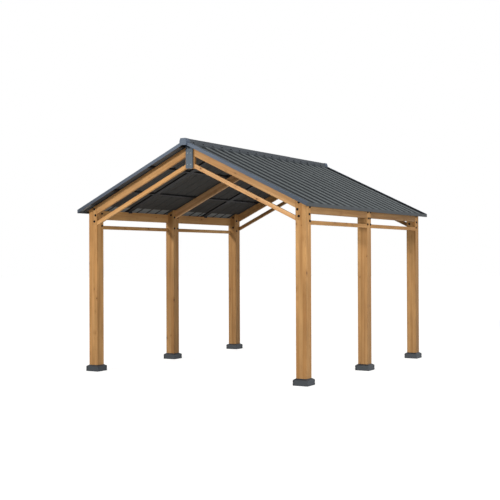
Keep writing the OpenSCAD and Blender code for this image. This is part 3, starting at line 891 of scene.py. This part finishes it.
class CARPORT_OT_screw_brackets(bpy.types.Operator):
    """Screw the ridge brackets to the ridge boards and bolt the middle plates"""
    bl_idname = "carport.screw_brackets"
    bl_label = "Screw brackets"

    def execute(self, context):
        steel = settings(context, "steel")
        screw, bolt = (fasteners(context)[kind] for kind in ("bracket screw", "plate bolt"))
        plated = steel_material("plated_screw", steel.screw, 0.34, dust=0.04)
        for end, name in ENDS:
            low, high = corners("ridge_bracket_" + name)
            face = low.y if end < 0 else high.y
            places = [((x, face, low.z + rise), (0, end, 0), screw.roll * k)
                      for k, (x, rise) in enumerate(product(BRACKET_SCREW_X, BRACKET_SCREW_RISE))]
            set_out("bracket_screws_" + name, screw, places, plated)
        low, high = corners("ridge_bracket_middle")
        places = [((x, face, low.z + PLATE_BOLT_RISE), (0, math.copysign(1, face), 0),
                   PLATE_BOLT_ROLL) for face in (low.y, high.y) for x in PLATE_BOLT_X]
        set_out("bolts_middle_bracket", bolt, places, bpy.data.materials["coat_bolt"])
        return {"FINISHED"}


class CARPORT_OT_screw_roof(bpy.types.Operator):
    """Screw the ridge cap to every rib and the sheets to the purlins"""
    bl_idname = "carport.screw_roof"
    bl_label = "Screw roof"

    def execute(self, context):
        cap_screw, sheet_screw = (fasteners(context)[kind] for kind in ("cap screw", "sheet screw"))
        # The front length of the cap laps over the back one, so its screws sit one sheet higher
        cap = [v.co for v in NODES["ridge_cap"].data.vertices]
        back_peak = max(co.z for co in cap) - CAP_SHEET
        joint = min(co.y for co in cap if co.y > 0 and abs(co.z - back_peak) < CLOSE)
        for side, name in SIDES:
            places = [(on_slope(side, CAP_SCREW_RUN, y, CAP_SHEET if y > joint else 2 * CAP_SHEET),
                       SQUARE[side], cap_screw.roll * k) for k, y in enumerate(RIBS)]
            set_out("cap_screws_" + name, cap_screw, places,
                    bpy.data.materials["coat_bolt"])
            places = [(on_slope(side, x / math.cos(PITCH), y), SQUARE[side],
                       sheet_screw.roll * k + row)
                      for k, y in enumerate(RIBS) for row, x in enumerate(SCREW_LINES)]
            set_out("sheet_screws_" + name, sheet_screw, places,
                    bpy.data.materials["coat_roof_sheet"])
        return {"FINISHED"}


class CARPORT_OT_seal_rakes(bpy.types.Operator):
    """Lay a dark foam seal under the flange of each gable trim"""
    bl_idname = "carport.seal_rakes"
    bl_label = "Seal gable trims"

    def execute(self, context):
        foam = steel_material("foam_seal", settings(context, "steel").foam, 0.85, dust=0.02,
                              specular=0.1)
        foot = EAVE_X / math.cos(PITCH) - SEAL_SHORT
        size = Matrix.Diagonal((foot - SEAL_TOP, SEAL_W, RIB_H - 2 * SEAL_GAP, 1))
        for end, name in ENDS:
            bm = bmesh.new()
            for side, _ in SIDES:
                middle = on_slope(side, (SEAL_TOP + foot) / 2, end * (ROOF_Y - SEAL_IN), -RIB_H / 2)
                turn = Matrix((SLOPE[side], (0, 1, 0), SQUARE[side])).transposed().to_4x4()
                bmesh.ops.create_cube(bm, size=1, matrix=Matrix.Translation(middle) @ turn @ size)
            bmesh.ops.recalc_face_normals(bm, faces=bm.faces)
            ease(bm, bm.edges[:], SEAL_EASE)
            finish_piece("rake_seals_" + name, bm, foam)
        return {"FINISHED"}


class CARPORT_OT_clip_steel_rafters(bpy.types.Operator):
    """Fix the foot of each steel rafter to its header with a folded plate"""
    bl_idname = "carport.clip_steel_rafters"
    bl_label = "Clip steel rafters"

    def execute(self, context):
        steel = settings(context, "steel")
        black = steel_material("coat_clip", steel.section, 0.6, dust=0.02, specular=0.15)
        # The fold's outline: in from the header's inner face, up from the purlins' underside there
        climb, under = math.tan(PITCH), CLIP_T / math.cos(PITCH)
        fold = ((0.0, -CLIP_H), (CLIP_T, -CLIP_H), (CLIP_T, CLIP_T * climb - under),
                (CLIP_LEG, CLIP_LEG * climb - under), (CLIP_LEG, CLIP_LEG * climb), (0.0, 0.0))
        level = APEX_Z - HEADER_IN * climb + PURLIN_FOOT / math.cos(PITCH)
        for side, name in SIDES:
            low, high = corners("joint_strap_" + name)
            bm = bmesh.new()
            for middle in (low.y + STRAP_W / 2, high.y - STRAP_W / 2):
                outline = [bm.verts.new((side * (HEADER_IN - x), middle - CLIP_W / 2, level + z))
                           for x, z in fold]
                made = bmesh.ops.extrude_face_region(bm, geom=[bm.faces.new(outline)])["geom"]
                bmesh.ops.translate(bm, vec=(0, CLIP_W, 0),
                                    verts=[v for v in made if isinstance(v, bmesh.types.BMVert)])
            bmesh.ops.recalc_face_normals(bm, faces=bm.faces)
            ease(bm, bm.edges[:], CLIP_EASE)
            finish_piece("rafter_clips_" + name, bm, black)
        return {"FINISHED"}


class CARPORT_OT_screw_covers(bpy.types.Operator):
    """Screw the lap flange of each post cover"""
    bl_idname = "carport.screw_covers"
    bl_label = "Screw post covers"

    def execute(self, context):
        kind = fasteners(context)["cover screw"]
        for node in sorted(n for n in NODES if n.startswith("base_cover_")):
            low, high = corners(node)
            laps = ((low.x + COVER_SCREW_IN, low.y, (0, -1, 0)),
                    (high.x - COVER_SCREW_IN, high.y, (0, 1, 0)),
                    (low.x, low.y + COVER_SCREW_IN, (-1, 0, 0)),
                    (high.x, high.y - COVER_SCREW_IN, (1, 0, 0)))
            places = [((x, y, rise), normal, kind.roll * k)
                      for k, ((x, y, normal), rise) in enumerate(product(laps, COVER_SCREW_RISE))]
            set_out(node.replace("base_cover", "cover_screws"), kind, places,
                    bpy.data.materials["coat_bolt"])
        return {"FINISHED"}


class CARPORT_OT_set_stage(bpy.types.Operator):
    """Add the pale floor, the lights and the camera"""
    bl_idname = "carport.set_stage"
    bl_label = "Set stage"

    def execute(self, context):
        stage = settings(context, "stage")
        context.scene.view_settings.view_transform = "Standard"
        self.lay_floor(context.scene)
        self.light_world(context.scene, stage)
        self.hang_lamps(stage)
        self.place_camera(context.scene, stage)
        return {"FINISHED"}

    def lay_floor(self, scene):
        """A floor that is white to the camera and in reflections, and pale grey to all else."""
        bm = bmesh.new()
        bmesh.ops.create_circle(bm, cap_ends=True, segments=96, radius=FLOOR_RADIUS)
        mesh = bpy.data.meshes.new("studio_floor")
        bm.to_mesh(mesh)
        bm.free()
        floor = bpy.data.objects.new("studio_floor", mesh)
        scene.collection.objects.link(floor)
        material = bpy.data.materials.new("studio_floor")
        material.use_nodes = True
        tree = material.node_tree
        glow = calc(tree, "MULTIPLY", backdrop_ray(tree), FLOOR_GLOW)
        feed(tree, tree.nodes["Principled BSDF"], Base_Color=FLOOR_GREY, Roughness=0.9,
             Specular_IOR_Level=0.0, Emission_Color=WHITE, Emission_Strength=glow)
        mesh.materials.append(material)

    def light_world(self, scene, stage):
        """A sky that fades from the horizon up, and shows as white behind everything."""
        world = bpy.data.worlds.new("studio")
        scene.world = world
        world.use_nodes = True
        tree = world.node_tree
        way = parted(tree, add_node(tree, "ShaderNodeTexCoord").outputs["Generated"])
        sky = remap(tree, way["Z"], *SKY_FADE, stage.horizon, stage.zenith, smooth=True)
        lift = calc(tree, "MULTIPLY", backdrop_ray(tree), calc(tree, "SUBTRACT", 1.0, sky))
        feed(tree, tree.nodes["Background"], Color=WHITE, Strength=calc(tree, "ADD", lift, sky))

    def hang_lamps(self, stage):
        """The sun, and a long low panel that only lights."""
        sun = bpy.data.lights.new("key", "SUN")
        sun.energy = stage.key
        sun.angle = SUN_ANGLE
        sun.color = SUN_COLOUR
        self.hang("key", sun, (0, 0, 0), SUN_WAY)
        panel = bpy.data.lights.new("fill", "AREA")
        panel.energy = stage.fill
        panel.shape = "RECTANGLE"
        panel.size, panel.size_y = PANEL_SIZE
        fill = self.hang("fill", panel, PANEL_PLACE, PANEL_WAY)
        fill.visible_camera = False
        fill.visible_glossy = False

    def hang(self, name, data, place, way):
        """One lamp at a place, looking one way."""
        lamp = bpy.data.objects.new(name, data)
        lamp.location = place
        lamp.rotation_euler = Vector(way).to_track_quat("-Z", "Y").to_euler()
        bpy.context.scene.collection.objects.link(lamp)
        return lamp

    def place_camera(self, scene, stage):
        """The camera, turned about the vertical, tilted up and leant a little to one side."""
        data = bpy.data.cameras.new("camera")
        data.sensor_width = SENSOR_W
        data.lens = stage.lens
        data.clip_end = FAR_CLIP
        camera = bpy.data.objects.new("camera", data)
        camera.matrix_world = (
            Matrix.Translation(CAMERA_PLACE)
            @ Matrix.Rotation(CAMERA_YAW, 4, "Z")
            @ Matrix.Rotation(math.pi / 2 + CAMERA_TILT, 4, "X")
            @ Matrix.Rotation(CAMERA_LEAN, 4, "Z"))
        scene.collection.objects.link(camera)
        scene.camera = camera


class CARPORT_PT_finish(bpy.types.Panel):
    """Carport tools in the sidebar"""
    bl_idname = "CARPORT_PT_finish"
    bl_label = "Timber carport"
    bl_space_type = "VIEW_3D"
    bl_region_type = "UI"
    bl_category = "Carport"

    def draw(self, context):
        for group in SETTING_GROUPS:
            box = self.layout.box()
            box.label(text=group.capitalize())
            holder = settings(context, group)
            for key in holder.bl_rna.properties.keys():
                if key not in {"rna_type", "name"}:
                    box.prop(holder, key)
        for step in STEPS:
            self.layout.operator(step.bl_idname)


SETTING_GROUPS = {"timber": CarportTimber, "steel": CarportSteel,
                  "fastenings": CarportFastenings, "stage": CarportStage}
STEPS = (CARPORT_OT_set_stage, CARPORT_OT_finish_timber, CARPORT_OT_finish_steel,
         CARPORT_OT_bolt_frames, CARPORT_OT_screw_brackets, CARPORT_OT_screw_roof,
         CARPORT_OT_seal_rakes, CARPORT_OT_clip_steel_rafters, CARPORT_OT_screw_covers)
CLASSES = (*SETTING_GROUPS.values(), *STEPS, CARPORT_PT_finish)


def register():
    for cls in CLASSES:
        bpy.utils.register_class(cls)
    for group, cls in SETTING_GROUPS.items():
        setattr(bpy.types.Scene, "carport_" + group, PointerProperty(type=cls))


def unregister():
    for group in SETTING_GROUPS:
        delattr(bpy.types.Scene, "carport_" + group)
    for cls in reversed(CLASSES):
        bpy.utils.unregister_class(cls)


def build():
    """Registers the tools and runs each in order."""
    register()
    for step in STEPS:
        area, name = step.bl_idname.split(".")
        getattr(getattr(bpy.ops, area), name)()


if __name__ == "__main__":
    build()
